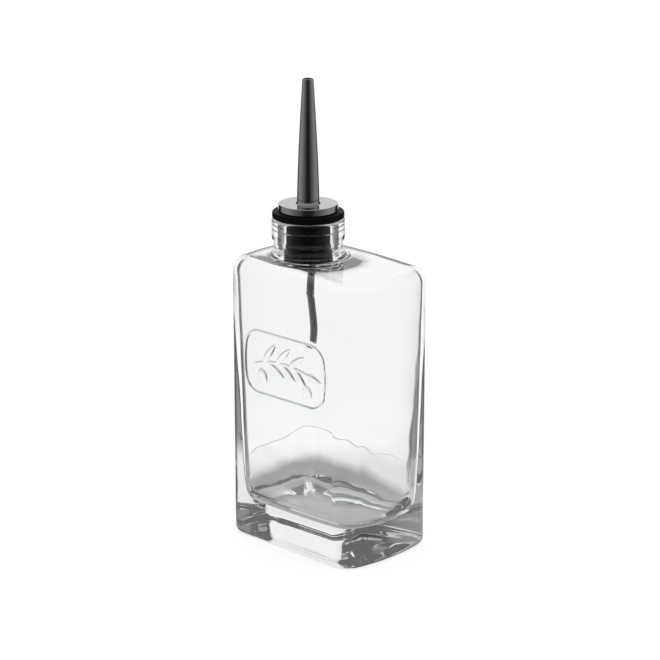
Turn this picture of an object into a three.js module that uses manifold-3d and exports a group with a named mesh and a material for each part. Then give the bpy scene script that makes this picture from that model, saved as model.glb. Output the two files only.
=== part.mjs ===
// Oil cruet: a clear glass bottle with an off-centre neck, closed by a rubber stopper
// that carries a dark steel pouring spout and a thin vent tube.
// Millimetres, +Z up. The origin is the centre of the bottle's footprint, on its base.
// The raised picture is on the wide face at -Y.

import * as THREE from "three";
import { mergeVertices } from "three/addons/utils/BufferGeometryUtils.js";
import Module from "manifold-3d";

const wasm = await Module();
wasm.setup();

// Glass body. The shoulder is highest at the neck and falls away along the width.
const bodyWidth = 74;
const bodyDepth = 49.4;
const shoulderHeight = 118.7;
const shoulderFall = 2;
const endBulge = 3.8;
const verticalEdgeRadius = 9;
const shoulderEdgeRadius = 6;
const baseEdgeRadius = 2.6;

// Hollow of the body: the wall thickens towards the heavy base and, under the shoulder, round the neck
const shoulderWall = 1.4;
const neckWall = 2.6;
const neckWallReach = 22;
const upperWall = 1.8;
const lowerWall = 5.2;
const floorHeight = 14.5;
const floorEdgeRadius = 4.5;
const floorRise = 12;
const cavityTopRadius = 5;
const upperCornerRadius = 8;
const lowerCornerRadius = 6.6;

// Neck and its finish
const neckOffset = -11.5;
const neckRadius = 14;
const boreRadius = 10.4;
const neckFillet = 2.6;
const boreFlare = 4;
const rimHeight = 133.8;
const rimEdge = 0.9;
const finishRadius = 14.85;
const finishFoot = 123.9;
const finishBandBottom = 125.5;
const finishGroove = 129.8;
const grooveDepth = 0.3;

// Raised picture on the wide face
const reliefHeight = 0.65;
const reliefRoot = 0.8;
const reliefBevel = 0.3;
const reliefCentreX = -0.5;
const reliefCentreZ = 77.5;
const frameWidth = 46;
const frameHeight = 27.2;
const frameLine = 1.2;
const frameBulge = 2;
const frameCorner = 5.5;
const twigHalfLength = 17;
const twigRise = 3;
const twigDrop = 1;
const twigThickness = 1;
const leafLength = 11.5;
const leafWidth = 4.2;
const leafSpread = 0.66;
const oliveRadius = 2.6;

// Rubber stopper
const collarRadius = 14.6;
const collarTop = 136.6;
const collarEdge = 0.8;
const plugRadius = 8.9;
const plugStep = 121.6;
const plugCoreRadius = 7.5;
const plugBottom = 114.6;
const finRadius = 9.9;
const finCount = 4;
const finThickness = 0.7;
const passageRadius = 3.7;

// Steel spout with its disk
const diskRadius = 12.2;
const diskThickness = 3.1;
const diskEdge = 0.5;
const spoutRootRadius = 5.2;
const spoutBaseRadius = 4.55;
const spoutBendRadius = 4.15;
const spoutTipRadius = 2.3;
const spoutTop = 190.3;
const spoutBend = 160.8;
const spoutWall = 0.6;

// Vent tube: points are (sideways from the neck's axis, height)
const ventRadius = 1.5;
const ventBoreRadius = 1.1;
const ventHeading = Math.PI * 0.243;
const ventPath = [
  [1.2, 125.8],
  [1.5, 112.8],
  [1.4, 104.8],
  [2.2, 92.8],
  [2.7, 85.8],
  [2.2, 80.4],
];

// Fineness of the round stretches
const latheSides = 40;
const innerLatheSides = 28;
const cornerSteps = 5;
const endSteps = 6;

const clearGlass = new THREE.MeshStandardMaterial({
  color: 0xf2f4f4,
  roughness: 0.03,
  metalness: 0,
  transparent: true,
  opacity: 0.35,
});
const blackRubber = new THREE.MeshStandardMaterial({ color: 0x101010, roughness: 0.5, metalness: 0 });
const darkSteel = new THREE.MeshStandardMaterial({ color: 0x6b6b6d, roughness: 0.18, metalness: 1 });

const point = (x, y) => new THREE.Vector2(x, y);

// Points of an arc, from one angle to another, both ends included
function arc(centreX, centreY, radius, from, to, steps) {
  return Array.from({ length: steps + 1 }, (_, step) => {
    const angle = THREE.MathUtils.lerp(from, to, step / steps);
    return point(centreX + radius * Math.cos(angle), centreY + radius * Math.sin(angle));
  });
}

// Outline with two straight sides at +Y and -Y and two bulging ends at +X and -X,
// all four corners rounded. The inset moves every side inwards by the same amount.
function bulgedOutline(width, depth, bulge, corner, inset = 0) {
  const halfDepth = depth / 2 - inset;
  const endRadius = ((depth / 2) ** 2 + bulge ** 2) / (2 * bulge) - inset;
  const endCentre = width / 2 - inset - endRadius;
  const radius = Math.max(corner - inset, 1);
  const reach = Math.sqrt((endRadius - radius) ** 2 - (halfDepth - radius) ** 2);
  const turn = Math.asin((halfDepth - radius) / (endRadius - radius));
  const end = arc(endCentre, 0, endRadius, -turn, turn, endSteps);
  const rounded = arc(endCentre + reach, halfDepth - radius, radius, turn, Math.PI / 2, cornerSteps);
  const quarter = rounded.slice(1);
  const mirroredLeft = [...quarter].reverse().map((p) => point(-p.x, p.y));
  const leftEnd = end.map((p) => point(-p.x, -p.y));
  const lowerLeft = quarter.map((p) => point(-p.x, -p.y));
  const lowerRight = [...quarter].reverse().map((p) => point(p.x, -p.y));
  return [...end, ...quarter, ...mirroredLeft, ...leftEnd, ...lowerLeft, ...lowerRight];
}

// Closed body through a stack of outlines with equal counts of points, lowest first
function loft(levels) {
  const count = levels[0].outline.length;
  const vertices = levels.flatMap(({ outline, z }) => outline.flatMap((p) => [p.x, p.y, z]));
  const bottomCentre = levels.length * count;
  const topCentre = bottomCentre + 1;
  vertices.push(0, 0, levels[0].z, 0, 0, levels.at(-1).z);
  const faces = [];
  for (let side = 0; side < count; side += 1) {
    const next = (side + 1) % count;
    faces.push(bottomCentre, next, side);
    for (let level = 0; level + 1 < levels.length; level += 1) {
      const low = level * count;
      const high = low + count;
      faces.push(low + side, low + next, high + next);
      faces.push(low + side, high + next, high + side);
    }
    const top = (levels.length - 1) * count;
    faces.push(topCentre, top + side, top + next);
  }
  const geometry = new THREE.BufferGeometry();
  geometry.setAttribute("position", new THREE.Float32BufferAttribute(vertices, 3));
  geometry.setIndex(faces);
  return geometry;
}

// Lathe about Z: the profile's points are (radius, height), listed upwards on the outside
function turned(profile, sides = latheSides) {
  const geometry = new THREE.LatheGeometry(profile, sides);
  geometry.rotateX(Math.PI / 2);
  return geometry;
}

function toSolid(geometry) {
  const bare = geometry.clone();
  bare.deleteAttribute("normal");
  bare.deleteAttribute("uv");
  const merged = mergeVertices(bare, 1e-4);
  const vertProperties = new Float32Array(merged.attributes.position.array);
  const triVerts = new Uint32Array(merged.index.array);
  return new wasm.Manifold(new wasm.Mesh({ numProp: 3, vertProperties, triVerts }));
}

function toGeometry(solid) {
  const mesh = solid.getMesh();
  const geometry = new THREE.BufferGeometry();
  geometry.setAttribute("position", new THREE.BufferAttribute(mesh.vertProperties, 3));
  geometry.setIndex(new THREE.BufferAttribute(mesh.triVerts, 1));
  geometry.computeVertexNormals();
  return geometry;
}

const bodyOutline = (inset) => bulgedOutline(bodyWidth, bodyDepth, endBulge, verticalEdgeRadius, inset);

// Lowers the upper part of a closed body, the more the further it is from the neck
function sloped(geometry, start, top) {
  const position = geometry.getAttribute("position");
  const farthest = bodyWidth / 2 - neckOffset;
  for (let i = 0; i < position.count; i += 1) {
    const share = Math.max(0, (position.getZ(i) - start) / (top - start));
    const fall = shoulderFall * ((position.getX(i) - neckOffset) / farthest) ** 2;
    position.setZ(i, position.getZ(i) - fall * share);
  }
  return geometry;
}

function outerBody() {
  const baseSteps = 3;
  const shoulderSteps = 5;
  const base = arc(0, 0, baseEdgeRadius, 0, Math.PI / 2, baseSteps).map((p) => ({
    outline: bodyOutline(baseEdgeRadius - p.y),
    z: baseEdgeRadius - p.x,
  }));
  const shoulder = arc(0, 0, shoulderEdgeRadius, 0, Math.PI / 2, shoulderSteps).map((p) => ({
    outline: bodyOutline(shoulderEdgeRadius - p.x),
    z: shoulderHeight - shoulderEdgeRadius + p.y,
  }));
  return sloped(loft([...base, ...shoulder]), baseEdgeRadius, shoulderHeight);
}

function cavity() {
  const steps = 5;
  const ceiling = shoulderHeight - shoulderWall;
  const wallFoot = floorHeight + floorRise;
  const wallHead = ceiling - cavityTopRadius;
  const cavityOutline = (wall, corner, inset) => {
    const width = bodyWidth - 2 * wall;
    const depth = bodyDepth - 2 * wall;
    return bulgedOutline(width, depth, endBulge, corner, inset);
  };
  const floor = arc(0, 0, 1, 0, Math.PI / 2, steps).map((p) => ({
    outline: cavityOutline(lowerWall, lowerCornerRadius, floorEdgeRadius * (1 - p.y)),
    z: wallFoot - floorRise * p.x,
  }));
  const walls = [0.2, 0.4, 0.6, 0.8].map((share) => ({
    outline: cavityOutline(
      THREE.MathUtils.lerp(upperWall, lowerWall, (1 - share) ** 1.1),
      THREE.MathUtils.lerp(lowerCornerRadius, upperCornerRadius, share),
      0,
    ),
    z: THREE.MathUtils.lerp(wallFoot, wallHead, share),
  }));
  const top = arc(0, 0, cavityTopRadius, 0, Math.PI / 2, steps).map((p) => ({
    outline: cavityOutline(upperWall, upperCornerRadius, cavityTopRadius - p.x),
    z: wallHead + p.y,
  }));
  return sloped(loft([...floor, ...walls, ...top]), wallFoot, ceiling);
}

function neckOutside() {
  const buried = shoulderHeight - shoulderWall / 2;
  const sunk = 0.25;
  const footRadius = neckRadius + neckFillet;
  const fillet = arc(footRadius, shoulderHeight - sunk + neckFillet, neckFillet, -Math.PI / 2, -Math.PI, 5);
  return turned([
    point(0, shoulderHeight - neckWall),
    point(boreRadius + boreFlare, shoulderHeight - neckWall),
    point(neckWallReach, buried - 0.6),
    point(footRadius, buried),
    ...fillet,
    point(neckRadius, finishFoot - 0.3),
    point(neckRadius + 0.2, finishFoot),
    point(finishRadius, finishBandBottom),
    point(finishRadius, finishGroove - grooveDepth),
    point(finishRadius - grooveDepth, finishGroove),
    point(finishRadius, finishGroove + grooveDepth),
    ...arc(finishRadius - rimEdge, rimHeight - rimEdge, rimEdge, 0, Math.PI / 2, 3),
    point(0, rimHeight),
  ]);
}

function neckBore() {
  const ceiling = shoulderHeight - neckWall;
  const overlap = 2;
  const flare = arc(boreRadius + boreFlare, ceiling + boreFlare, boreFlare, -Math.PI / 2, -Math.PI, 4);
  const mouth = arc(boreRadius + rimEdge, rimHeight - rimEdge, rimEdge, Math.PI, Math.PI / 2, 3);
  return turned([
    point(0, ceiling - overlap),
    point(boreRadius + boreFlare, ceiling - overlap),
    ...flare,
    ...mouth,
    point(boreRadius + rimEdge, rimHeight + overlap),
    point(0, rimHeight + overlap),
  ]);
}

// Stands a flat shape up on the wide face at -Y, rooted in the glass, with sloping sides
function raised(shape, curveSegments = 6) {
  const geometry = new THREE.ExtrudeGeometry(shape, {
    depth: reliefRoot + reliefHeight - 2 * reliefBevel,
    bevelThickness: reliefBevel,
    bevelSize: reliefBevel,
    bevelOffset: -reliefBevel,
    bevelSegments: 1,
    curveSegments,
  });
  geometry.rotateX(Math.PI / 2);
  geometry.translate(reliefCentreX, -bodyDepth / 2 + reliefRoot - reliefBevel, reliefCentreZ);
  return geometry;
}

function pictureFrame() {
  const outline = (inset) => bulgedOutline(frameWidth, frameHeight, frameBulge, frameCorner, inset);
  const shape = new THREE.Shape(outline(0));
  shape.holes.push(new THREE.Path(outline(frameLine)));
  return raised(shape);
}

// A pointed leaf from its stalk outwards, widest near the stalk
function leaf(x, y, direction, scale) {
  const long = leafLength * scale;
  const half = (leafWidth * scale) / 2;
  const placed = (along, across) => [
    x + along * Math.cos(direction) - across * Math.sin(direction),
    y + along * Math.sin(direction) + across * Math.cos(direction),
  ];
  const stalk = placed(0, 0);
  const tip = placed(long, 0);
  const shape = new THREE.Shape();
  shape.moveTo(...stalk);
  shape.bezierCurveTo(...placed(long * 0.2, -half * 1.5), ...placed(long * 0.7, -half), ...tip);
  shape.bezierCurveTo(...placed(long * 0.7, half), ...placed(long * 0.2, half * 1.5), ...stalk);
  return raised(shape);
}

// The twig is a shallow arch: its height and its direction over its length
const twigY = (x) => twigRise * (1 - (x / twigHalfLength) ** 2) - twigDrop;
const twigTurn = (x) => Math.atan((-2 * twigRise * x) / twigHalfLength ** 2);

function twig() {
  const steps = 10;
  const xs = Array.from({ length: steps + 1 }, (_, i) => twigHalfLength * ((2 * i) / steps - 1));
  const under = xs.map((x) => point(x, twigY(x) - twigThickness / 2));
  const over = [...xs].reverse().map((x) => point(x, twigY(x) + twigThickness / 2));
  return raised(new THREE.Shape([...under, ...over]));
}

function olive(x, y, direction) {
  const geometry = new THREE.SphereGeometry(oliveRadius, 14, 10);
  geometry.scale(1.3, reliefHeight / oliveRadius, 1);
  geometry.rotateY(-direction);
  geometry.translate(reliefCentreX + x, -bodyDepth / 2, reliefCentreZ + y);
  return geometry;
}

function oliveSprig() {
  const tip = twigHalfLength - 5;
  const pieces = [twig(), leaf(tip, twigY(tip), twigTurn(tip), 0.8)];
  [-12, -4.5, 3].forEach((x, index) => {
    const size = 1 - 0.06 * index;
    pieces.push(leaf(x, twigY(x), twigTurn(x) + leafSpread, size));
    pieces.push(leaf(x + 2, twigY(x + 2), twigTurn(x + 2) - leafSpread, size));
  });
  pieces.push(olive(-12.5, -5.6, -1.2));
  pieces.push(olive(12.8, -7.4, -1.4));
  return pieces;
}

function glassBottle() {
  const neck = [neckOutside(), neckBore()].map((geometry) => geometry.translate(neckOffset, 0, 0));
  let solid = toSolid(outerBody()).add(toSolid(neck[0]));
  solid = solid.subtract(toSolid(cavity())).subtract(toSolid(neck[1]));
  [pictureFrame(), ...oliveSprig()].forEach((geometry) => {
    solid = solid.add(toSolid(geometry));
  });
  return toGeometry(solid);
}

function rubberStopper() {
  const pitch = (plugStep - plugBottom) / finCount;
  const fins = [];
  for (let fin = 0; fin < finCount; fin += 1) {
    const low = plugBottom + fin * pitch;
    fins.push(point(finRadius, low), point(finRadius, low + finThickness));
    fins.push(point(plugCoreRadius, low + finThickness + 0.3));
    fins.push(point(plugCoreRadius, low + pitch));
  }
  const outside = [
    point(passageRadius, plugBottom),
    ...fins,
    point(plugRadius, plugStep),
    point(plugRadius, rimHeight),
    ...arc(collarRadius - collarEdge, rimHeight + collarEdge, collarEdge, -Math.PI / 2, 0, 3),
    ...arc(collarRadius - collarEdge, collarTop - collarEdge, collarEdge, 0, Math.PI / 2, 3),
    point(passageRadius, collarTop),
  ];
  return turned([...outside, outside[0]], innerLatheSides);
}

function steelSpout() {
  const diskTop = collarTop + diskThickness;
  const rootFlare = 0.9;
  const bend = new THREE.QuadraticBezierCurve(
    point(spoutBaseRadius, diskTop + 3),
    point(spoutBendRadius + 0.1, spoutBend),
    point(spoutTipRadius, spoutTop - 0.5),
  ).getPoints(8);
  const outside = [
    point(passageRadius, collarTop),
    point(diskRadius - diskEdge, collarTop),
    point(diskRadius, collarTop + diskEdge),
    point(diskRadius, diskTop - diskEdge),
    point(diskRadius - diskEdge, diskTop),
    point(spoutRootRadius, diskTop),
    point(spoutBaseRadius, diskTop + rootFlare),
    ...bend,
    point(spoutTipRadius - 0.2, spoutTop),
  ];
  const inside = [...bend].reverse().map((p) => point(p.x - spoutWall, p.y));
  const mouth = point(spoutTipRadius - spoutWall + 0.1, spoutTop);
  return turned([...outside, mouth, ...inside, outside[0]], innerLatheSides);
}

function ventTube() {
  const sides = 10;
  const steps = 14;
  const heading = new THREE.Vector2(Math.cos(ventHeading), Math.sin(ventHeading));
  const path = new THREE.CatmullRomCurve3(
    ventPath.map(([side, z]) => new THREE.Vector3(side * heading.x, side * heading.y, z)),
  );
  const shape = new THREE.Shape().absarc(0, 0, ventRadius, 0, Math.PI * 2, false);
  shape.holes.push(new THREE.Path().absarc(0, 0, ventBoreRadius, 0, Math.PI * 2, true));
  return new THREE.ExtrudeGeometry(shape, { steps, curveSegments: sides, extrudePath: path });
}

function piece(name, geometry, material) {
  const mesh = new THREE.Mesh(geometry, material);
  mesh.name = name;
  return mesh;
}

const pourer = new THREE.Group();
pourer.position.x = neckOffset;
pourer.add(
  piece("stopper", rubberStopper(), blackRubber),
  piece("spout", steelSpout(), darkSteel),
  piece("vent_tube", ventTube(), darkSteel),
);

const oilCruet = new THREE.Group();
oilCruet.add(piece("bottle", glassBottle(), clearGlass), pourer);

export default oilCruet;
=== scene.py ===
# %% [markdown]
# # An oil cruet in clear glass
# The object is an empty table bottle for olive oil. It has a heavy clear base, a neck that sits off-centre,
# and a pourer: a black rubber stopper that holds a dark polished steel spout and a thin vent tube.
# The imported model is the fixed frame: every size below is read from its pieces or is a named value in
# millimetres. The whole script works in millimetres and turns to Blender's metres in one place.

# %% Load the frame
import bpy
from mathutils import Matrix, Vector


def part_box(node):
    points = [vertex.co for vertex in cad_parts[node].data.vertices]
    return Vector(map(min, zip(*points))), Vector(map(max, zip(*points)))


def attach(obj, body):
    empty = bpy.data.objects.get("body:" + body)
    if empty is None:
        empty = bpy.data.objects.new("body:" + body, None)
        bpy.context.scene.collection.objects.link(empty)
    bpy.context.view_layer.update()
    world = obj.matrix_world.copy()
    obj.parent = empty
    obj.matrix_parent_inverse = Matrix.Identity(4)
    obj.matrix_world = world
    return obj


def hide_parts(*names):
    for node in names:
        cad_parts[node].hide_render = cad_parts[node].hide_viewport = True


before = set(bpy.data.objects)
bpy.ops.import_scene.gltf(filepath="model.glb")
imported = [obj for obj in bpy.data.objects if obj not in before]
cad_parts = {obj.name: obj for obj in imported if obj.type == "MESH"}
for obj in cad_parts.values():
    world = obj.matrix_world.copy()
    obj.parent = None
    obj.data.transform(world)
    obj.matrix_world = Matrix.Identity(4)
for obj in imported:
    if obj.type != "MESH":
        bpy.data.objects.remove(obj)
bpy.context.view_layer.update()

# %% [markdown]
# ## Measures taken from the frame
# A replaced piece has to stand exactly where its solid stands, so the driving sizes come from the solids'
# own boxes: the neck's axis from the spout, the collar from the stopper, the rim from the bottle.

# %% Sizes read from the frame
import math

import bmesh
import bpy
import numpy as np
from mathutils import Vector

MM = 0.001


def box_mm(node):
    """A node's lowest and highest corner in millimetres."""
    low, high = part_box(node)
    return np.array(low) / MM, np.array(high) / MM


bottle_low, bottle_high = box_mm("bottle")
stopper_low, stopper_high = box_mm("stopper")
spout_low, spout_high = box_mm("spout")

half_width = bottle_high[0]
half_depth = bottle_high[1]
relief_height = -bottle_low[1] - half_depth
rim_height = bottle_high[2]
neck_x = (spout_low[0] + spout_high[0]) / 2
collar_radius = (stopper_high[0] - stopper_low[0]) / 2
collar_top = stopper_high[2]
plug_bottom = stopper_low[2]
disk_radius = (spout_high[0] - spout_low[0]) / 2
spout_top = spout_high[2]
print("body", 2 * half_width, 2 * half_depth, "rim", rim_height, "neck at x", round(neck_x, 2))
print("relief", round(relief_height, 2), "collar radius", round(collar_radius, 2), "tip", spout_top)

# %% [markdown]
# ## One way to make every skin
# Every piece here is a stack of closed rings with equal counts of points: the glass is one stack that climbs
# the outside and comes down the inside, and the turned pieces are profiles swept round an axis. So one
# function that joins rings into a mesh is enough. Fine rings with soft normals keep the refraction smooth.

# %% Rings to mesh


def skin(name, rings, joined=False):
    """A closed mesh from rings. The first and last ring end in a fan, or meet each other if joined."""
    rings = np.asarray(rings, float)
    count, columns = rings.shape[:2]
    vertices = rings.reshape(-1, 3)
    here = np.arange(columns)
    after = (here + 1) % columns
    faces = []
    for ring in range(count if joined else count - 1):
        low = ring * columns
        high = ((ring + 1) % count) * columns
        faces += np.stack([low + here, low + after, high + after, high + here], 1).tolist()
    if not joined:
        vertices = np.vstack([vertices, rings[0].mean(0), rings[-1].mean(0)])
        first = count * columns
        top = (count - 1) * columns
        faces += [[first, int(b), int(a)] for a, b in zip(here, after)]
        faces += [[first + 1, int(top + a), int(top + b)] for a, b in zip(here, after)]
    mesh = bpy.data.meshes.new(name)
    mesh.from_pydata((vertices * MM).tolist(), [], faces)
    work = bmesh.new()
    work.from_mesh(mesh)
    bmesh.ops.recalc_face_normals(work, faces=work.faces)
    work.to_mesh(mesh)
    work.free()
    mesh.polygons.foreach_set("use_smooth", [True] * len(mesh.polygons))
    piece = bpy.data.objects.new(name, mesh)
    bpy.context.scene.collection.objects.link(piece)
    print(name, len(mesh.polygons), "faces")
    return piece


def finish_piece(piece, material, slot, *nodes):
    """Gives a piece its material and its body, and hides the CAD nodes that it stands for. The slot is not
    used.
    """
    piece.data.materials.append(material)
    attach(piece, "root")
    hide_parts(*nodes)
    print(piece.name, "is made of", material.name, "and stands for", *nodes)


# %% [markdown]
# ## Rounded profiles
# Moulded glass, rubber and turned steel have no sharp corners. A profile is written as its few corner
# points, each with the radius that the tool left there, and this helper swaps each corner for its arc.
# Two extra points close to every arc keep the soft shading of the flats beside it flat.

# %% Corner points to a rounded profile
SUPPORT = 0.12


def rounded(corners, steps=6):
    """An open line through (radius, height, corner radius) points, with its inner corners rounded."""
    points = [np.array(c[:2], float) for c in corners]
    line = [points[0]]
    for before, corner, after, radius in zip(points, points[1:], points[2:], [c[2] for c in corners[1:]]):
        into = (corner - before) / np.linalg.norm(corner - before)
        out = (after - corner) / np.linalg.norm(after - corner)
        turn = math.atan2(into[0] * out[1] - into[1] * out[0], into @ out)
        if radius <= 0 or abs(turn) < 1e-3:
            line.append(corner)
            continue
        cut = radius * math.tan(abs(turn) / 2)
        side = math.copysign(1, turn)
        centre = corner - into * cut + side * radius * np.array([-into[1], into[0]])
        start = corner - into * cut - centre
        line.append(centre + start - into * min(SUPPORT, cut))
        for step in range(steps + 1):
            angle = turn * step / steps
            c, s = math.cos(angle), math.sin(angle)
            line.append(centre + np.array([c * start[0] - s * start[1], s * start[0] + c * start[1]]))
        line.append(line[-1] + out * min(SUPPORT, cut))
    line.append(points[-1])
    return np.array(line)


def turned_rings(profile, angles, axis_x=neck_x):
    """Rings of a profile of (radius, height) points swept round a vertical axis."""
    radius = profile[:, 0][:, None]
    x = axis_x + radius * np.cos(angles)[None, :]
    y = radius * np.sin(angles)[None, :]
    z = np.repeat(profile[:, 1][:, None], len(angles), 1)
    return np.stack([x, y, z], 2)


print("a right angle with a 2 mm corner takes", len(rounded([(0, 0, 0), (9, 0, 2), (9, 9, 0)])), "points")

# %% [markdown]
# ## Nodes, colours and numbers
# Colours are written as the sRGB hex values that a picture program shows. Cycles works in linear light, so
# one function turns them. Another small function adds a node, sets it and links it, and that is all the
# node code that the materials need.

# %% Helpers for materials


def linear(hex_colour):
    """An sRGB hex value as linear red, green, blue and alpha."""
    channels = [int(hex_colour[i:i + 2], 16) / 255 for i in (1, 3, 5)]
    return (*[c / 12.92 if c <= 0.04045 else ((c + 0.055) / 1.055) ** 2.4 for c in channels], 1.0)


def add(tree, kind, links=None, **settings):
    """Adds one node. Settings name sockets or properties; links name sockets that other sockets feed."""
    node = tree.nodes.new("ShaderNode" + kind)
    for name, value in settings.items():
        socket = node.inputs.get(name.replace("_", " "))
        if socket is not None and not hasattr(node, name):
            socket.default_value = value
        else:
            setattr(node, name, value)
    for name, source in (links or {}).items():
        tree.links.new(source, node.inputs[name])
    return node


def new_material(name):
    """An empty node material, its tree and its output node."""
    material = bpy.data.materials.new(name)
    material.use_nodes = True
    material.node_tree.nodes.clear()
    return material, material.node_tree, add(material.node_tree, "OutputMaterial")


def surface(tree, output, shader):
    """Feeds a shader to the material's surface."""
    tree.links.new(shader.outputs[0], output.inputs["Surface"])


print("mid grey #808080 is", round(linear("#808080")[0], 3), "in linear light")

# %% [markdown]
# ## The plan of the body
# Seen from above the bottle is a rectangle with two flat wide faces and two ends that bulge outwards, with
# round corners. The outline is made of arcs and lines in a fixed order, so that every ring has its columns
# in the same places and the wall between two rings runs straight. The wide face at the front gets many
# more columns, because the raised picture is pressed into them.

# %% Outline of the body
end_bulge = 3.8
edge_radius = 9.0
RELIEF_PITCH = 0.38
relief_x = -0.5
relief_z = 77.5
frame_width = 46.0
frame_height = 27.2

flat_half = 26.3
FLAT_EDGE = 0.25
COARSE_FRONT = 5
smallest_corner = 0.8
end_steps = 34
corner_steps = 12
back_steps = 36
end_share = np.linspace(-1, 1, end_steps + 1)
corner_share = np.linspace(0, 1, corner_steps + 1)


def front_columns():
    """Places along the front face, from -1 to 1, close together where the picture is."""
    reach = frame_width / 2 + 1
    fine = np.arange(relief_x - reach, relief_x + reach, RELIEF_PITCH)
    left = np.linspace(-flat_half + FLAT_EDGE, fine[0] - 1, COARSE_FRONT)
    right = np.linspace(fine[-1] + 1, flat_half - FLAT_EDGE, COARSE_FRONT)
    return np.concatenate([left, fine, right]) / flat_half


front_share = front_columns()
back_share = np.concatenate([[-0.992], np.linspace(-0.95, 0.95, back_steps), [0.992]])


def outline(width, depth, bulge, corner, inset):
    """One closed ring of (x, y) points, counter-clockwise from the right end."""
    half = depth / 2 - inset
    end_radius = ((depth / 2) ** 2 + bulge ** 2) / (2 * bulge) - inset
    end_centre = width / 2 - inset - end_radius
    radius = max(corner - inset, smallest_corner)
    reach = math.sqrt((end_radius - radius) ** 2 - (half - radius) ** 2)
    turn = math.asin((half - radius) / (end_radius - radius))
    sweep = turn * end_share
    end = np.stack([end_centre + end_radius * np.cos(sweep), end_radius * np.sin(sweep)], 1)
    angle = turn + (math.pi / 2 - turn) * corner_share[1:]
    flat = end_centre + reach
    quarter = np.stack([flat + radius * np.cos(angle), half - radius + radius * np.sin(angle)], 1)
    back = np.stack([flat * back_share[::-1], np.full(len(back_share), half)], 1)
    front = np.stack([flat * front_share, np.full(len(front_share), -half)], 1)
    return np.concatenate([
        end, quarter, back,
        quarter[::-1] * [-1, 1], -end, -quarter,
        front,
        quarter[::-1] * [1, -1],
    ])


probe = outline(2 * half_width, 2 * half_depth, end_bulge, edge_radius, 0)
columns = len(probe)
neck_angles = np.unwrap(np.arctan2(probe[:, 1], probe[:, 0] - neck_x))
print("columns", columns, "flat half", round(probe[:, 0][probe[:, 1] == half_depth].max(), 2))

# %% [markdown]
# ## The raised picture
# A pressed bottle carries its relief on the outside only: a low ridge in a rounded frame, and in it a
# generic sprig with leaves and olives. Displacing the fine columns of the front face by a height field
# keeps the glass one closed skin, where a boolean would leave slivers that glitter in the refraction.

# %% Sizes of the picture
frame_line = 1.2
frame_bulge = 2.0
frame_corner = 5.5
twig_half = 17.0
twig_rise = 3.0
twig_drop = 1.0
twig_thickness = 1.1
twig_share = 0.9
leaf_length = 11.5
leaf_width = 4.2
leaf_spread = 0.66
leaf_fullness = 1.6
vein_depth = 0.35
vein_width = 0.5
leaf_stalks = (-12, -4.5, 3)
leaf_shrink = 0.06
pair_gap = 2
tip_leaf_inset = 5
tip_leaf_size = 0.8
olive_radius = 2.6
olive_length = 1.3
olives = ((-12.5, -5.6, -1.2), (12.8, -7.4, -1.4))


def pillow(share):
    """1 at the middle, 0 at the edge, with a soft shoulder, for a share from 0 to 1 of the way out."""
    inside = np.clip(1 - np.abs(share), 0, 1)
    return inside * inside * (3 - 2 * inside)


def twig_height(x):
    """The twig's line, a shallow arch."""
    return twig_rise * (1 - (x / twig_half) ** 2) - twig_drop


def twig_turn(x):
    return math.atan(-2 * twig_rise * x / twig_half ** 2)


print("frame", frame_width, "x", frame_height, "mm, twig", 2 * twig_half, "mm long")

# %% [markdown]
# ## Frame, leaves and olives as heights
# Each part of the picture is a small function of the place on the face. It gives 0 outside the part and up
# to 1 on it, and the picture is the highest of them all at each place, as if each had been cut in the iron.

# %% Height of the picture


def frame_relief(x, z):
    """The rounded frame with its slightly bulging sides."""
    half_w = frame_width / 2 - frame_line / 2
    half_h = frame_height / 2 - frame_line / 2
    bulge = frame_bulge * np.clip(1 - (z / half_h) ** 2, 0, 1)
    across = np.abs(x) - bulge - (half_w - frame_bulge - frame_corner)
    up = np.abs(z) - (half_h - frame_corner)
    outside = np.hypot(np.maximum(across, 0), np.maximum(up, 0))
    distance = outside + np.minimum(np.maximum(across, up), 0) - frame_corner
    return pillow(distance / (frame_line / 2))


def leaf_relief(x, z, stalk_x, stalk_z, turn, scale):
    """A pillow with a pointed leaf's outline and a shallow middle vein."""
    t = np.linspace(0, 1, 40)
    long = leaf_length * scale
    half = leaf_width * scale / 2
    along_curve = 3 * (1 - t) ** 2 * t * 0.2 * long + 3 * (1 - t) * t ** 2 * 0.7 * long + t ** 3 * long
    half_curve = 3 * (1 - t) ** 2 * t * 1.5 * half + 3 * (1 - t) * t ** 2 * half
    along = (x - stalk_x) * math.cos(turn) + (z - stalk_z) * math.sin(turn)
    across = -(x - stalk_x) * math.sin(turn) + (z - stalk_z) * math.cos(turn)
    width = np.interp(along, along_curve, half_curve, left=0, right=0)
    share = np.where(width > 0.02, np.abs(across) / np.maximum(width, 0.02), 2)
    vein = 1 - vein_depth * pillow(across / vein_width)
    return np.minimum(leaf_fullness * pillow(share), 1) * vein


def olive_relief(x, z, centre_x, centre_z, turn):
    """An oval bead."""
    along = (x - centre_x) * math.cos(turn) + (z - centre_z) * math.sin(turn)
    across = (-(x - centre_x) * math.sin(turn) + (z - centre_z) * math.cos(turn)) / olive_radius
    along = along / (olive_length * olive_radius)
    return np.sqrt(np.clip(1 - along ** 2 - across ** 2, 0, 1))


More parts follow.
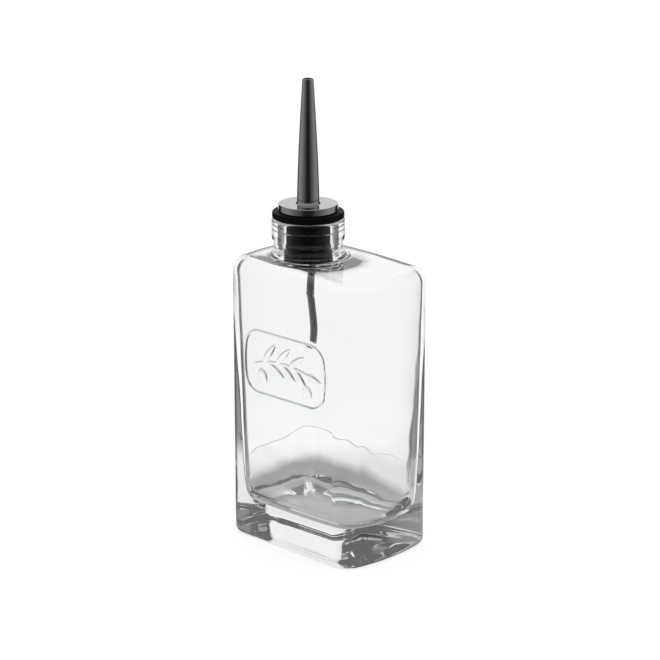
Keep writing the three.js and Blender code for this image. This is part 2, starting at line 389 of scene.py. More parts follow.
def relief(x, z):
    """The height of the picture as a share of its full height, at places on the front face."""
    x = x - relief_x
    z = z - relief_z
    parts = [frame_relief(x, z)]
    on_twig = np.abs(x) < twig_half
    parts.append(np.where(on_twig, pillow((z - twig_height(x)) / (twig_thickness / 2)), 0) * twig_share)
    tip = twig_half - tip_leaf_inset
    parts.append(leaf_relief(x, z, tip, twig_height(tip), twig_turn(tip), tip_leaf_size))
    for index, stalk in enumerate(leaf_stalks):
        size = 1 - leaf_shrink * index
        parts.append(leaf_relief(x, z, stalk, twig_height(stalk), twig_turn(stalk) + leaf_spread, size))
        low = stalk + pair_gap
        parts.append(leaf_relief(x, z, low, twig_height(low), twig_turn(low) - leaf_spread, size))
    parts += [olive_relief(x, z, *olive) for olive in olives]
    return np.max(parts, axis=0)


frame_side = relief_x + (frame_width - frame_line) / 2
print("the frame's side has", round(float(relief(frame_side, relief_z)), 2), "of the relief's full height")

# %% [markdown]
# ## The glass
# The bottle is blown in a mould: the outside is as crisp as the iron, the inside is free, so the wall grows
# towards the base and its inner side is wavy. One stack of rings follows the outside up from the middle of
# the base, over the shoulder and the neck's finish, over the rim, and down the bore and the inner wall to
# the floor of the hollow. That gives the wall its true thickness, which is what refraction reads.

# %% Heights and radii of the glass
base_edge = 2.6
push_up = 1.2
push_up_edge = 0.93
push_up_slope = 0.45
mould_wave = 0.12
mould_wave_top = 40.0
mould_wave_share = 0.5
shoulder_height = 118.7
shoulder_fall = 2.0
shoulder_edge = 6.0
shoulder_wall = 1.4
neck_wall = 2.6
neck_wall_reach = 6.5
upper_wall = 1.8
lower_wall = 5.2
wall_growth = 1.1
floor_height = 14.5
floor_edge = 4.5
floor_rise = 12.0
cavity_edge = 5.0
cavity_corner_head = 8.0
cavity_corner_foot = 6.6
neck_radius = 14.0
neck_fillet = 2.6
fillet_sunk = 0.25
bore_radius = 10.4
bore_flare = 4.0
rim_edge = 0.9
finish_radius = 14.85
finish_foot = 123.9
finish_band = 125.5
finish_groove = 129.8
groove_depth = 0.3
finish_edge = 0.5
groove_edges = (0.15, 0.1)
arc_rings = {"base": 7, "shoulder": 10, "hollow head": 10, "hollow floor": 14}


def arc_steps(count):
    """Angles from 0 to a right angle."""
    return np.linspace(0, math.pi / 2, count + 1)


def smooth_step(share):
    """0 below 0, 1 above 1 and a soft slope between."""
    share = np.clip(share, 0.0, 1.0)
    return share * share * (3 - 2 * share)


def fall(x):
    """How far the shoulder has dropped at a place along the width."""
    return shoulder_fall * ((x - neck_x) / (half_width - neck_x)) ** 2


def level(points, z, low, high):
    """A ring at height z, let down towards the top as the shoulder falls away."""
    share = max(0.0, (z - low) / (high - low))
    return np.column_stack([points, z - share * fall(points[:, 0])])


print("the shoulder falls", round(float(fall(half_width)), 2), "mm to the far end")

# %% [markdown]
# ## The outside of the glass
# The outside is what the iron mould gave: a rounded foot, upright walls and a rounded shoulder. The underside
# is pushed up a little, so that the bottle stands on its rim. Near the foot the heavy glass shrank from the
# iron as it cooled, which left slow swells. They are shallow, but the eye sees them in every bent line.

# %% Outside of the glass
swell_x = 5.2
swell_y = 4.1
swell_rise = 6.0
swell_drop = 7.5
long_swell_x = 8.3
long_swell_y = 6.7
long_swell_rise = 4.4
under_shares = (0.02, 0.2, 0.4, 0.6, 0.7, 0.76, 0.8, 0.84, 0.88, 0.92, 0.96, 0.99)
low_wall_rings = 12
high_wall_rings = 6


def mould_waves(ring, z):
    """The outside near the base isn't quite flat either: slow swells that fade out upwards."""
    x, y = ring[:, 0], ring[:, 1]
    swell = np.cos(x / swell_x + z / swell_rise) * np.cos(y / swell_y - z / swell_drop)
    swell = swell + np.cos(x / long_swell_x - y / long_swell_y + 1.0 + z / long_swell_rise)
    amount = mould_wave * max(0.0, 1 - z / mould_wave_top) * min(1.0, z / base_edge)
    away = ring[:, :2] / np.linalg.norm(ring[:, :2], axis=1)[:, None]
    ring[:, :2] -= away * (amount * (1 + mould_wave_share * swell))[:, None]
    return ring


def outside_rings():
    width, depth = 2 * half_width, 2 * half_depth
    top = shoulder_height
    rings = []
    foot_ring = outline(width, depth, end_bulge, edge_radius, base_edge)
    for share in under_shares:
        raised = push_up * smooth_step((push_up_edge - share) / push_up_slope)
        rings.append(np.column_stack([foot_ring * share, np.full(columns, raised)]))
    for angle in arc_steps(arc_rings["base"]):
        inset = base_edge * (1 - math.sin(angle))
        z = base_edge * (1 - math.cos(angle))
        ring = level(outline(width, depth, end_bulge, edge_radius, inset), z, base_edge, top)
        rings.append(mould_waves(ring, z))
    straight_top = top - shoulder_edge
    relief_low = relief_z - frame_height / 2 - 1
    relief_high = relief_z + frame_height / 2 + 1
    heights = np.concatenate([
        [base_edge + SUPPORT], np.linspace(base_edge + 2, relief_low - 1, low_wall_rings),
        np.arange(relief_low, relief_high, RELIEF_PITCH),
        np.linspace(relief_high + 1, straight_top - 2, high_wall_rings), [straight_top - SUPPORT],
    ])
    wall = outline(width, depth, end_bulge, edge_radius, 0)
    for z in heights:
        ring = level(wall, z, base_edge, top)
        mould_waves(ring, z)
        front = np.isclose(wall[:, 1], -half_depth)
        ring[front, 1] -= relief_height * relief(ring[front, 0], ring[front, 2])
        rings.append(ring)
    for angle in arc_steps(arc_rings["shoulder"]):
        inset = shoulder_edge * (1 - math.cos(angle))
        z = straight_top + shoulder_edge * math.sin(angle)
        rings.append(level(outline(width, depth, end_bulge, edge_radius, inset), z, base_edge, top))
    return rings


outer = outside_rings()
print(len(outer), "rings up the outside")

# %% [markdown]
# ## The shoulder, the neck and the bore
# The shoulder slopes gently from the neck to the far end. The neck carries the finish: a band with a fine
# groove, made by the split ring mould that shapes the mouth before the body is blown. Its outside and the
# bore are turned shapes, so one rounded profile is swept round the neck's axis, and the rings between the
# body's rectangle and the neck's circle are a blend of the two.

# %% Shoulder, neck and bore
ON_NECK = 0.01
neck_steps = 8
shoulder_shares = (0.03, 0.25, 0.5, 0.75, 0.96)
ceiling_shares = (0.04, 0.15, 0.3, 0.45, 0.6, 0.75, 0.9, 0.98)


def bridge(ring, circle, shares, surface_z):
    """Rings between a body ring and a circle round the neck, lying on a surface."""
    made = []
    for share in shares:
        flat = ring[:, :2] * (1 - share) + circle[:, :2] * share
        made.append(np.column_stack([flat, surface_z(flat)]))
    return made


def top_z(flat):
    return shoulder_height - fall(flat[:, 0])


def ceiling_z(flat):
    """The underside of the shoulder: the glass is thickest round the neck and thin at the edges."""
    from_flare = np.hypot(flat[:, 0] - neck_x, flat[:, 1]) - bore_radius - bore_flare
    extra = (neck_wall - shoulder_wall) * np.exp(-(np.maximum(from_flare, 0) / neck_wall_reach) ** 2)
    return top_z(flat) - shoulder_wall - extra


def neck_rings(last):
    foot_radius = neck_radius + neck_fillet
    foot_z = shoulder_height - fillet_sunk
    corners = [
        (foot_radius + ON_NECK, foot_z, 0), (neck_radius, foot_z, neck_fillet),
        (neck_radius, finish_foot, finish_edge), (finish_radius, finish_band, finish_edge),
        (finish_radius, finish_groove - groove_depth, groove_edges[0]),
        (finish_radius - groove_depth, finish_groove, groove_edges[1]),
        (finish_radius, finish_groove + groove_depth, groove_edges[0]),
        (finish_radius, rim_height, rim_edge), (bore_radius, rim_height, rim_edge),
        (bore_radius, shoulder_height - neck_wall, bore_flare),
        (bore_radius + bore_flare + ON_NECK, shoulder_height - neck_wall, 0),
    ]
    profile = rounded(corners, steps=neck_steps)
    rings = turned_rings(profile, neck_angles)
    # The foot of the fillet follows the shoulder's fall, and so does the ceiling of the hollow
    lift = shoulder_height - fall(rings[0][:, 0]) - foot_z
    radius, height = profile.T
    share = np.clip((foot_z + neck_fillet - height) / neck_fillet, 0, 1)
    share[radius < neck_radius - ON_NECK] = 0
    rings[:, :, 2] += share[:, None] * lift[None, :]
    return bridge(last, rings[0], shoulder_shares, top_z), list(rings)


shoulder, neck = neck_rings(outer[-1])
print(len(shoulder), "rings on the shoulder,", len(neck), "round the neck and down the bore")

# %% [markdown]
# ## The inside of the glass
# No mould touches the inside: air pushes it. So the wall grows towards the heavy base, the hollow's floor
# rises into the wall in a long curve, a little higher in the corners, and slow waves run all over. Low on
# the wall is a ragged line where the glass settled last. It is a crest of a quarter of a millimetre, but
# because it is steep it bends light as much as a thick wall does, and the eye reads a thin grey line.

# %% Inside of the glass
wave_lengths = (38.0, 23.0, 15.0)
wave_height = 0.05
foot_wave_height = 0.03
wave_turn = 1.3
corner_climb = 0.8
climb_top = 44.0
cavity_corner_floor = 7.5
floor_corner_top = 40.0
settle_z = 33.0
settle_height = 0.24
settle_half = 0.14
settle_reach = 5.0
settle_front = -14
settle_end = 27
settle_fade = 4
ragged_waves = ((1.3, 3, 0.5), (0.7, 8, 0.0), (0.4, 17, 0.0))


def wall_share(z):
    """0 under the shoulder, 1 at the foot of the wall."""
    low = floor_height + floor_rise
    high = shoulder_height - shoulder_wall - cavity_edge
    return np.clip((high - z) / (high - low), 0, 1)


def waves(points, z):
    """How far the free inner side swells in or out."""
    round_body = np.arctan2(points[:, 1], points[:, 0])
    height = wave_height + (foot_wave_height - wave_height) * wall_share(z) ** 3
    swell = sum(
        math.sin(2 * math.pi * z / length + index) * np.cos((index + 2) * round_body + wave_turn * index)
        for index, length in enumerate(wave_lengths)
    )
    return height * swell


def climb(points):
    """How far a ring rises in the four corners, where more glass stays behind."""
    x, y = np.abs(points).T
    return corner_climb * (x * y / (x.max() * y.max())) ** 2


def jagged(points):
    """The ragged height of the line where the glass settled last."""
    turn = np.arctan2(points[:, 1], points[:, 0])
    return sum(height * np.sin(count * turn + start) for height, count, start in ragged_waves)


print("waves up to", round(wave_height * len(wave_lengths), 2), "mm, crest at height", settle_z)

# %% [markdown]
# ## Rings down the hollow
# The rings run from the ceiling to the floor: a rounded head, the long wall with its crease, and the curve
# into the floor. The last ring shrinks in steps to the middle, so that the floor is closed without a seam.

# %% Rings down the hollow
hollow_rings = 44
foot_rings = 10
floor_shares = (0.985, 0.93, 0.86, 0.78, 0.68, 0.55, 0.4, 0.2, 0.02)
crease_steps = (3, 1, 0, -1, -3)


def inside_rings():
    ceiling = shoulder_height - shoulder_wall
    foot = floor_height + floor_rise
    head = ceiling - cavity_edge

    def ring(z, wall, inset, fade=1.0, ridge=0.0):
        share = wall_share(z)
        corner = cavity_corner_head + (cavity_corner_foot - cavity_corner_head) * share
        low_down = smooth_step((floor_corner_top - z) / (floor_corner_top - foot))
        corner += (cavity_corner_floor - corner) * low_down
        width, depth = 2 * (half_width - wall), 2 * (half_depth - wall)
        points = outline(width, depth, end_bulge, corner, inset)
        away = points / np.linalg.norm(points, axis=1)[:, None]
        lift = climb(points) * smooth_step((climb_top - z) / (climb_top - foot))
        lift += jagged(points) * math.exp(-((z - settle_z) / settle_reach) ** 2)
        at_back = np.clip((points[:, 1] - settle_front) / settle_fade, 0, 1)
        crest = ridge * at_back * np.clip((settle_end - points[:, 0]) / settle_fade, 0, 1)
        made = level(points + away * (waves(points, z) * fade + crest)[:, None], z, foot, ceiling)
        made[:, 2] += lift
        return made

    rings = []
    for angle in arc_steps(arc_rings["hollow head"])[::-1]:
        inset = cavity_edge * (1 - math.cos(angle))
        rings.append(ring(head + cavity_edge * math.sin(angle), upper_wall, inset, math.cos(angle)))
    crease = [settle_z + settle_half * step for step in crease_steps]
    above = np.linspace(head, settle_z + 1, hollow_rings)[1:]
    below = np.linspace(settle_z - 1, foot, foot_rings)[:-1]
    for z in (*above, *crease, *below):
        wall = upper_wall + (lower_wall - upper_wall) * wall_share(z) ** wall_growth
        rings.append(ring(z, wall, 0, ridge=settle_height if z == settle_z else 0.0))
    for angle in arc_steps(arc_rings["hollow floor"]):
        inset = floor_edge * (1 - math.cos(angle))
        rings.append(ring(foot - floor_rise * math.sin(angle), lower_wall, inset, math.cos(angle)))
    last = rings[-1]
    for share in floor_shares:
        z = floor_height + (last[:, 2] - floor_height) * share ** 4
        rings.append(np.column_stack([last[:, :2] * share, z]))
    return rings


inner = inside_rings()
ceiling_rings = bridge(neck[-1], inner[0], ceiling_shares, ceiling_z)
bottle = skin("glass_bottle", outer + shoulder + neck + ceiling_rings + inner)

# %% [markdown]
# ## Soda-lime glass
# The common name is container glass or soda-lime glass. Its outside was pressed against polished iron and
# fire-finished, so it is clear and mirror smooth, with an index of refraction of 1.52. A faint, long bump
# stands for the mould's unevenness: the eye reads it as soft bends in the bright lines.
# In the heavy base some light turns many times between the faces before it gets out. The renderer stops
# after four mirrored turns and would leave those rays black. So from the fourth turn on the glass has a very
# faint glow, which stands for the light that would have come out. No other ray sees it.

# %% Glass material
SWIRL = 16 * MM
SWIRL_STRENGTH = 0.15
SWIRL_DEPTH = 0.4 * MM
LEAK = 0.065
MIRRORED_TURNS = 3
glass, tree, output = new_material("soda_lime_glass")
coordinates = add(tree, "TexCoord")
swirl = add(tree, "TexNoise", {"Vector": coordinates.outputs["Object"]}, Scale=1 / SWIRL, Detail=1.0)
bend = add(tree, "Bump", {"Height": swirl.outputs["Fac"]}, Strength=SWIRL_STRENGTH, Distance=SWIRL_DEPTH)
rays = add(tree, "LightPath")
leaked = add(tree, "MapRange", {"Value": rays.outputs["Glossy Depth"]},
             From_Min=MIRRORED_TURNS, From_Max=MIRRORED_TURNS + 1, To_Max=LEAK)
clear = add(tree, "BsdfPrincipled",
            {"Normal": bend.outputs["Normal"], "Emission Strength": leaked.outputs["Result"]},
            Base_Color=linear("#FBFCFC"), Roughness=0.0, IOR=1.52, Transmission_Weight=1.0)
surface(tree, output, clear)
finish_piece(bottle, glass, "clear_glass", "bottle")

# %% [markdown]
# ## The rubber stopper
# A collar sits on the rim and a plug goes down the bore: a wide upper part, then a core with four thin
# fins that seal against the glass. It is one moulded piece with a passage through the middle, so it is a
# closed profile swept round the neck's axis.

# %% Stopper shape
plug_radius = 8.9
plug_step = 121.6
core_radius = 7.5
fin_radius = 9.9
fin_count = 4
fin_thickness = 0.7
passage_radius = 3.7
turn_steps = 96
turn_angles = np.linspace(0, 2 * math.pi, turn_steps, endpoint=False)


def stopper_profile():
    pitch = (plug_step - plug_bottom) / fin_count
    corners = [(passage_radius, plug_bottom + 1, 0), (passage_radius, plug_bottom, 0.3)]
    for fin in range(fin_count):
        low = plug_bottom + fin * pitch
        corners += [(fin_radius, low, 0.2), (fin_radius, low + fin_thickness, 0.2)]
        corners += [(core_radius, low + fin_thickness + 0.3, 0.25), (core_radius, low + pitch, 0.2)]
    corners += [
        (plug_radius, plug_step, 0.4), (plug_radius, rim_height, 0.1),
        (collar_radius, rim_height, 0.8), (collar_radius, collar_top, 0.8),
        (passage_radius, collar_top, 0.3), (passage_radius, plug_bottom + 1.2, 0),
    ]
    return rounded(corners, steps=4)


stopper = skin("rubber_stopper", turned_rings(stopper_profile(), turn_angles), joined=True)

# %% [markdown]
# ## Moulded black rubber
# A food-grade nitrile or silicone rubber, filled black and moulded in a lightly blasted tool. It gives the
# eye a deep black with a broad, weak sheen, never a mirror line. The tool's grain is about 0.3 mm.

# %% Rubber material
GRAIN = 0.3 * MM
GRAIN_DEPTH = 0.03 * MM
RUBBER_ROUGHNESS = (0.42, 0.56)
rubber, tree, output = new_material("moulded_black_rubber")
coordinates = add(tree, "TexCoord")
grain = add(tree, "TexNoise", {"Vector": coordinates.outputs["Object"]}, Scale=1 / GRAIN, Detail=3.0)
sheen_patches = add(tree, "MapRange", {"Value": grain.outputs["Fac"]},
                    To_Min=RUBBER_ROUGHNESS[0], To_Max=RUBBER_ROUGHNESS[1])
pits = add(tree, "Bump", {"Height": grain.outputs["Fac"]}, Strength=0.25, Distance=GRAIN_DEPTH)
black = add(tree, "BsdfPrincipled",
            {"Normal": pits.outputs["Normal"], "Roughness": sheen_patches.outputs["Result"]},
            Base_Color=linear("#050505"), IOR=1.5, Specular_IOR_Level=0.1)
surface(tree, output, black)
finish_piece(stopper, rubber, "black_rubber", "stopper")

# %% [markdown]
# ## The steel spout
# The spout is a drawn tube, almost straight at the foot and tapered towards the mouth, welded to a turned
# disk with a small flare. The mouth is open, so the profile goes up the outside and down the inside.

# %% Spout shape
disk_thickness = 3.1
disk_edge = 0.45
root_radius = 5.2
root_flare = 0.9
spout_base_radius = 4.55
spout_bend_radius = 4.15
spout_tip_radius = 2.3
spout_bend = 160.8
spout_wall = 0.6
spout_foot = 3
spout_lip = 0.5
spout_steps = 24
weld_edge = 0.35
weld_flare = 0.8


def spout_profile():
    disk_top = collar_top + disk_thickness
    t = np.linspace(0, 1, spout_steps)[:, None]
    start = np.array([spout_base_radius, disk_top + spout_foot])
    middle = np.array([spout_bend_radius, spout_bend])
    end = np.array([spout_tip_radius, spout_top - spout_lip])
    taper = (1 - t) ** 2 * start + 2 * (1 - t) * t * middle + t ** 2 * end
    foot = rounded([
        (passage_radius, collar_top + 1, 0), (passage_radius, collar_top, 0.2),
        (disk_radius, collar_top, disk_edge), (disk_radius, disk_top, disk_edge),
        (root_radius, disk_top, weld_edge), (spout_base_radius, disk_top + root_flare, weld_flare),
        (spout_base_radius, disk_top + spout_foot - 0.1, 0),
    ])
    lip = rounded([
        tuple(end) + (0,), (spout_tip_radius - 0.05, spout_top, 0.2),
        (spout_tip_radius - spout_wall, spout_top, 0.2), (spout_tip_radius - spout_wall, spout_top - 0.6, 0),
    ])
    inside = taper[::-1] - [spout_wall, 0]
    return np.concatenate([foot, taper, lip[1:], inside[1:]])


spout = skin("steel_spout", turned_rings(spout_profile(), turn_angles), joined=True)

# %% [markdown]
# ## Polished stainless steel
# Stainless steel, ground round the axis and then mirror polished. It gives the eye a dark mirror: it has no
# colour of its own, so it shows the dark room and the bright cards as long upright bands. The grinding lines
# are about 0.05 mm apart, too fine to show, so they are drawn as coarse as 0.4 mm and very weak.

# %% Steel material
GRIND_PITCH = 0.4 * MM
GRIND_LENGTH = 25 * MM
GRIND_DEPTH = 0.02 * MM


def steel(name, colour, roughness, strength):
    """Polished steel with faint lines ground round an upright axis."""
    material, tree, output = new_material(name)
    coordinates = add(tree, "TexCoord")
    stretched = add(tree, "Mapping", {"Vector": coordinates.outputs["Object"]},
                    Scale=(1 / GRIND_LENGTH, 1 / GRIND_LENGTH, 1 / GRIND_PITCH))
    lines = add(tree, "TexNoise", {"Vector": stretched.outputs["Vector"]}, Scale=1.0, Detail=2.0)
    shine = add(tree, "MapRange", {"Value": lines.outputs["Fac"]},
                To_Min=roughness * 0.8, To_Max=roughness * 1.25)
    ground = add(tree, "Bump", {"Height": lines.outputs["Fac"]}, Strength=strength, Distance=GRIND_DEPTH)
    metal = add(tree, "BsdfPrincipled",
                {"Normal": ground.outputs["Normal"], "Roughness": shine.outputs["Result"]},
                Base_Color=linear(colour), Metallic=1.0)
    surface(tree, output, metal)
    return material


polished_steel = steel("polished_stainless_steel", "#C9C9CB", 0.1, 0.1)
finish_piece(spout, polished_steel, "dark_steel", "spout")

# %% [markdown]
# ## The vent tube
# A thin steel tube that lets air into the bottle while oil runs out. It hangs from the stopper, leans a
# little and was bent near its end. A smooth curve through six points gives its line, and rings square to
# that line give its outside and inside.

# %% Vent tube shape
vent_radius = 1.5
vent_bore = 1.1
vent_heading = 0.243 * math.pi
vent_sides = 32
vent_lip = 0.12
vent_steps = 10
vent_path = ((1.2, 125.8), (1.5, 112.8), (1.4, 104.8), (2.2, 92.8), (2.7, 85.8), (2.2, 80.4))


def smooth_path(points, steps):
    """A Catmull-Rom line through the points."""
    points = np.array(points, float)
    padded = np.vstack([2 * points[0] - points[1], points, 2 * points[-1] - points[-2]])
    line = []
    for a, b, c, d in zip(padded, padded[1:], padded[2:], padded[3:]):
        for t in np.linspace(0, 1, steps, endpoint=False):
            line.append(0.5 * (2 * b + (c - a) * t + (2 * a - 5 * b + 4 * c - d) * t ** 2
                               + (3 * b - a - 3 * c + d) * t ** 3))
    return np.array(line + [points[-1]])


def vent_rings():
    heading = np.array([math.cos(vent_heading), math.sin(vent_heading), 0])
    across = np.array([-heading[1], heading[0], 0])
    flat = smooth_path(vent_path, vent_steps)
    centres = np.array([neck_x, 0, 0]) + flat[:, :1] * heading + flat[:, 1:] * [0, 0, 1]
    along = np.gradient(centres, axis=0)
    along /= np.linalg.norm(along, axis=1)[:, None]
    sideways = np.cross(along, across)
    angles = np.linspace(0, 2 * math.pi, vent_sides, endpoint=False)

    def around(index, radius):
        circle = np.outer(np.cos(angles), across) + np.outer(np.sin(angles), sideways[index])
        return centres[index] + radius * circle

    last = len(centres) - 1
    out = [around(i, vent_radius) for i in range(last + 1)]
    out[0] = around(0, vent_radius - vent_lip)
    out[-1] = around(last, vent_radius - vent_lip)
    return out + [around(i, vent_bore) for i in range(last, -1, -1)]


vent = skin("steel_vent_tube", vent_rings(), joined=True)
drawn_steel = steel("drawn_stainless_steel", "#B4B4B6", 0.22, 0.2)
finish_piece(vent, drawn_steel, "dark_steel", "vent_tube")

# %% [markdown]
# ## The camera
# The photo was taken from the right and from a little above, from about a metre away. Fitting a camera to
# the outline of the bottle gave the angle, the distance and the lens. A product photographer often shifts
# the lens to keep uprights parallel; the camera here is unshifted, so its uprights lean together a little.

# %% Camera
camera_azimuth = math.radians(44.23)
camera_elevation = math.radians(16.78)
camera_distance = 1000.0
camera_lens = 134.9
target = Vector((0.37, 0.35, 88.8))
back = Vector((
    math.sin(camera_azimuth) * math.cos(camera_elevation),
    -math.cos(camera_azimuth) * math.cos(camera_elevation),
    math.sin(camera_elevation),
))
camera_data = bpy.data.cameras.new("camera")
camera_data.lens = camera_lens
camera_data.sensor_width = 36.0
camera = bpy.data.objects.new("camera", camera_data)
camera.location = (target + back * camera_distance) * MM
camera.rotation_mode = "QUATERNION"
camera.rotation_quaternion = (-back).to_track_quat("-Z", "Y")
bpy.context.scene.collection.objects.link(camera)
bpy.context.scene.camera = camera
print("camera at, mm:", [round(c / MM) for c in camera.location], "lens", camera_lens)

# %% [markdown]
# ## The table
# The bottle stands on a sheet of white paper, lit so strongly that the eye sees plain white with a trace of
# shade round the foot. The sheet is one large face, a hair under the foot so that the two never touch.

# %% Sheet of paper
floor_size = 8.0
FLOOR_GAP = 0.08
corner = floor_size / 2
floor_corners = [(-corner, -corner, 0), (corner, -corner, 0), (corner, corner, 0), (-corner, corner, 0)]
floor_mesh = bpy.data.meshes.new("floor")
floor_mesh.from_pydata(floor_corners, [], [(0, 1, 2, 3)])
floor = bpy.data.objects.new("floor", floor_mesh)
bpy.context.scene.collection.objects.link(floor)
floor.location.z = -FLOOR_GAP * MM
print("paper", floor_size, "m wide,", FLOOR_GAP, "mm under the foot")

# %% [markdown]
# ## How light the paper is
# Rays that come through the glass need truer paper than the eye does, so for them the paper's shade and light
# are painted on as a glow that is worked out from the place, not lit. The painted shade is grey under the
# heavy base, where no light gets to it, and a little darker under the near end. From the back edge outwards
# it is painted lit.
# What is seen through the hollow lies further out, and there the painted shade of the bottle reaches wider.
# So two patterns of painted brightness are worked out from the place, and the count of glass faces that a ray
# has come
# through says which one it sees: one or two faces for the base, more for the hollow.

# %% Light on the paper
PAPER_IN_SHADE = 0.41
PAPER_BEHIND_HOLLOW = 0.42
PAPER_IN_LIGHT = 0.9
UNDER_END = 0.7
back_edge = (16 * MM, 20 * MM)
end_edge = (20 * MM, 28 * MM)
shade_width = (18 * MM, 34 * MM)
faces_through = (2.5, 3.5)

paper, tree, output = new_material("white_paper_sweep")
rays = add(tree, "LightPath")
coordinates = add(tree, "TexCoord")
place_on_floor = add(tree, "SeparateXYZ", {"Vector": coordinates.outputs["Object"]})
# Painted shade under the base: grey up to the back edge, painted light beyond it, darker under the near end
behind = add(tree, "MapRange", {"Value": place_on_floor.outputs["Y"]},
             From_Min=back_edge[0], From_Max=back_edge[1], To_Min=PAPER_IN_SHADE, To_Max=PAPER_IN_LIGHT)
under_end = add(tree, "MapRange", {"Value": place_on_floor.outputs["X"]},
                From_Min=end_edge[0], From_Max=end_edge[1], To_Min=1.0, To_Max=UNDER_END)
through_base = add(tree, "Math", {0: behind.outputs["Result"], 1: under_end.outputs["Result"]},
                   operation="MULTIPLY")
# Painted shade round the bottle as seen through the hollow: grey close to the foot, painted light further out
beside = []
for axis, half in (("X", half_width), ("Y", half_depth)):
    size = add(tree, "Math", {0: place_on_floor.outputs[axis]}, operation="ABSOLUTE")
    past = add(tree, "Math", {0: size.outputs[0]}, operation="SUBTRACT")
    past.inputs[1].default_value = half * MM
    beside.append(past.outputs[0])
outside = add(tree, "Math", {0: beside[0], 1: beside[1]}, operation="MAXIMUM")
through_hollow = add(tree, "MapRange", {"Value": outside.outputs[0]},
                     From_Min=shade_width[0], From_Max=shade_width[1],
                     To_Min=PAPER_BEHIND_HOLLOW, To_Max=PAPER_IN_LIGHT)
came_through = add(tree, "MapRange", {"Value": rays.outputs["Transmission Depth"]},
                   From_Min=faces_through[0], From_Max=faces_through[1])
lit = add(tree, "Mix", {"Factor": came_through.outputs["Result"]}, data_type="FLOAT")
tree.links.new(through_base.outputs[0], lit.inputs["A"])
tree.links.new(through_hollow.outputs["Result"], lit.inputs["B"])
print("paper in the shade", PAPER_IN_SHADE, "and in the light", PAPER_IN_LIGHT)

# %% [markdown]
# ## White paper
# For the eye the paper is matt fibre, #F4F4F4, mixed with a glow that stands for the strong light on it, so
# it stays plain white and keeps a trace of shade. Mirrored and refracted rays see the painted shade and light
# instead, and past a hand's width they see through the paper into the room, which is what they would meet far
# away.

# %% Paper material
PAPER_GLOW = 1.1
GLOW_SHARE = 0.65
near_bottle = 75 * MM
far_from_bottle = 100 * MM

away = add(tree, "VectorMath", {0: coordinates.outputs["Object"]}, operation="LENGTH")
beyond = add(tree, "MapRange", {"Value": away.outputs["Value"]},
             From_Min=near_bottle, From_Max=far_from_bottle)
# For mirrored and refracted rays the paper glows with this painted shade and light instead of being lit
lit_paper = add(tree, "Emission", {"Strength": lit.outputs["Result"]})
nothing = add(tree, "BsdfTransparent")
around = add(tree, "MixShader", {0: beyond.outputs["Result"], 1: lit_paper.outputs[0], 2: nothing.outputs[0]})
matt = add(tree, "BsdfPrincipled", Base_Color=linear("#F4F4F4"), Roughness=0.9, Specular_IOR_Level=0.1)
bright_paper = add(tree, "Emission", Strength=PAPER_GLOW)
seen = add(tree, "MixShader", {1: matt.outputs[0], 2: bright_paper.outputs[0]}, Fac=GLOW_SHARE)
mirrored = add(tree, "Math", {0: rays.outputs["Is Glossy Ray"], 1: rays.outputs["Is Transmission Ray"]},
               operation="MAXIMUM")
mixed = add(tree, "MixShader", {0: mirrored.outputs[0], 1: seen.outputs[0], 2: around.outputs[0]})
surface(tree, output, mixed)
floor_mesh.materials.append(paper)
print("floor is made of", paper.name)

# %% [markdown]
# ## The room
# Clear glass is only seen by what it bends. It needs a bright ground straight behind it and darkness to
# the sides, so that the thick and curved parts turn dark while the flat walls stay bright. The world here
# is that room. For the eye and for matt surfaces it is plain white. For mirrored rays and rays in the glass
# it has dark and bright uprights, which stand for the cards beside the camera: they give the steel its long
# bands and the glass its dark edges. Their places were read from the bands in the spout. A ray that comes
# straight through the glass from behind meets white too, so that the bottle is clear from that side.

# %% Uprights of the room
steel_room = (
    (180, 0.72), (155, 0.72), (150, 0.015), (127, 0.015), (122, 0.26), (85, 0.27), (60, 0.17), (42, 0.10),
    (26, 0.06), (16, 0.01), (0, 0.01),
)
glass_room = (
    (180, 0.98), (150, 0.98), (143, 0.10), (127, 0.12), (115, 0.26), (80, 0.24), (60, 0.06), (0, 0.05),
)
camera_side = ((180, 0.0), (65, 0.0), (50, 0.95), (0, 0.95))

world = bpy.data.worlds.new("studio")
bpy.context.scene.world = world
world.use_nodes = True
tree = world.node_tree
tree.nodes.clear()
output = add(tree, "OutputWorld")
direction = add(tree, "TexCoord")
parts = add(tree, "SeparateXYZ", {"Vector": direction.outputs["Generated"]})
azimuth = add(tree, "Math", {0: parts.outputs["Y"], 1: parts.outputs["X"]}, operation="ARCTAN2")
# In Blender's world a direction's angle is counted from +X, the camera's from -Y
camera_angle = camera_azimuth - math.pi / 2
turned_to = add(tree, "Math", {0: azimuth.outputs[0]}, operation="SUBTRACT")
turned_to.inputs[1].default_value = camera_angle
folded = add(tree, "Math", {0: turned_to.outputs[0]}, operation="COSINE")
across_room = add(tree, "MapRange", {"Value": folded.outputs[0]}, From_Min=-1.0, From_Max=1.0)


def ramp(tree, source, stops):
    """A ramp of grey uprights, each at an angle in degrees from the camera's side of the room."""
    node = add(tree, "ValToRGB", {"Fac": source})
    elements = node.color_ramp.elements
    while len(elements) < len(stops):
        elements.new(0.5)
    for element, (degrees, shade) in zip(elements, stops):
        element.position = (math.cos(math.radians(degrees)) + 1) / 2
        element.color = (shade, shade, shade, 1)
    return node


in_steel = ramp(tree, across_room.outputs["Result"], steel_room)
in_glass = ramp(tree, across_room.outputs["Result"], glass_room)
seen_from_behind = ramp(tree, across_room.outputs["Result"], camera_side)
print("room of", len(steel_room), "uprights for the steel and", len(glass_room), "for the glass")

# %% [markdown]
# ## Steel and glass see different rooms
# One set of uprights can't serve both: the bands in the spout and the dark edges of the glass ask for
# different widths, as cards at different distances would give. So rays in the glass get their own, or the
# white of the camera's side where that is brighter and the ray has met no mirror. Above the horizon the
# ground fades a little.

# %% Rays in steel and in glass
HORIZON = 0.1
HIGH_GROUND = 0.86

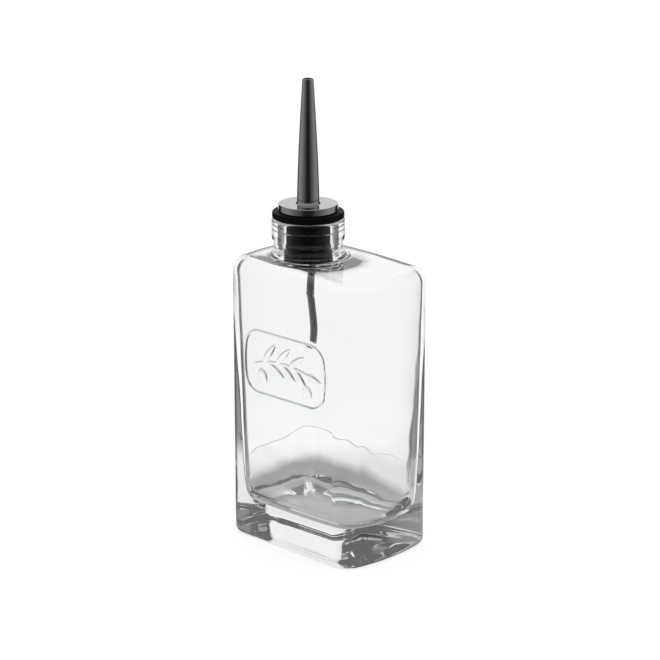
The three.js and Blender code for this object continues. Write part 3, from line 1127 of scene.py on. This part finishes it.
rays = add(tree, "LightPath")
around = add(tree, "Mix", {"Factor": rays.outputs["Is Transmission Ray"]}, data_type="RGBA")
tree.links.new(in_steel.outputs["Color"], around.inputs["A"])
dimmer = add(tree, "MapRange", {"Value": parts.outputs["Z"]},
             From_Min=-HORIZON, From_Max=HORIZON, To_Min=1.0, To_Max=HIGH_GROUND)
straight = add(tree, "MapRange", {"Value": rays.outputs["Glossy Depth"]}, From_Min=0.0, From_Max=1.0,
               To_Min=1.0, To_Max=0.0)
from_front = add(tree, "VectorMath",
                 {0: seen_from_behind.outputs["Color"], "Scale": straight.outputs["Result"]},
                 operation="SCALE")
either = add(tree, "VectorMath", {0: in_glass.outputs["Color"], 1: from_front.outputs["Vector"]},
             operation="MAXIMUM")
backlight = add(tree, "VectorMath", {0: either.outputs["Vector"], "Scale": dimmer.outputs["Result"]},
                operation="SCALE")
tree.links.new(backlight.outputs["Vector"], around.inputs["B"])
print("white ground", glass_room[0][1], "below the horizon,", HIGH_GROUND, "of that above it")

# %% [markdown]
# ## Ceiling, table and plain white
# High up the uprights end at a soft ceiling, which the glass sees bright and the steel dim. Low down they
# end at the far part of the table. The eye and every matt surface see none of this, only plain white, so
# the picture has a plain pale ground and the shading is soft.

# %% Ceiling, table and background
CEILING = (0.5, 0.75)
CEILING_IN_STEEL = 0.3
CEILING_IN_GLASS = 0.88
TABLE = (-0.4, -0.6)
FAR_TABLE = 0.5
WHITE = 1.1
WORLD_STRENGTH = 1.15


def grey(value):
    """A grey of this brightness in linear light."""
    return (value, value, value, 1)


upwards = add(tree, "MapRange", {"Value": parts.outputs["Z"]}, From_Min=CEILING[0], From_Max=CEILING[1])
ceiling_light = add(tree, "Mix", {"Factor": upwards.outputs["Result"]}, data_type="RGBA")
tree.links.new(around.outputs["Result"], ceiling_light.inputs["A"])
overhead = add(tree, "Mix", {"Factor": rays.outputs["Is Transmission Ray"]}, data_type="RGBA")
overhead.inputs["A"].default_value = grey(CEILING_IN_STEEL)
overhead.inputs["B"].default_value = grey(CEILING_IN_GLASS)
tree.links.new(overhead.outputs["Result"], ceiling_light.inputs["B"])
downwards = add(tree, "MapRange", {"Value": parts.outputs["Z"]}, From_Min=TABLE[0], From_Max=TABLE[1])
table_light = add(tree, "Mix", {"Factor": downwards.outputs["Result"]}, data_type="RGBA")
tree.links.new(ceiling_light.outputs["Result"], table_light.inputs["A"])
table_light.inputs["B"].default_value = grey(FAR_TABLE)
glossy_or_through = add(tree, "Math",
                        {0: rays.outputs["Is Glossy Ray"], 1: rays.outputs["Is Transmission Ray"]},
                        operation="MAXIMUM")
light = add(tree, "Mix", {"Factor": glossy_or_through.outputs[0]}, data_type="RGBA")
light.inputs["A"].default_value = grey(WHITE)
tree.links.new(table_light.outputs["Result"], light.inputs["B"])
background = add(tree, "Background", {"Color": light.outputs["Result"]}, Strength=WORLD_STRENGTH)
tree.links.new(background.outputs[0], output.inputs["Surface"])
bpy.context.scene.view_settings.view_transform = "Standard"
print("plain white is", round(WHITE * WORLD_STRENGTH, 3), "in linear light")
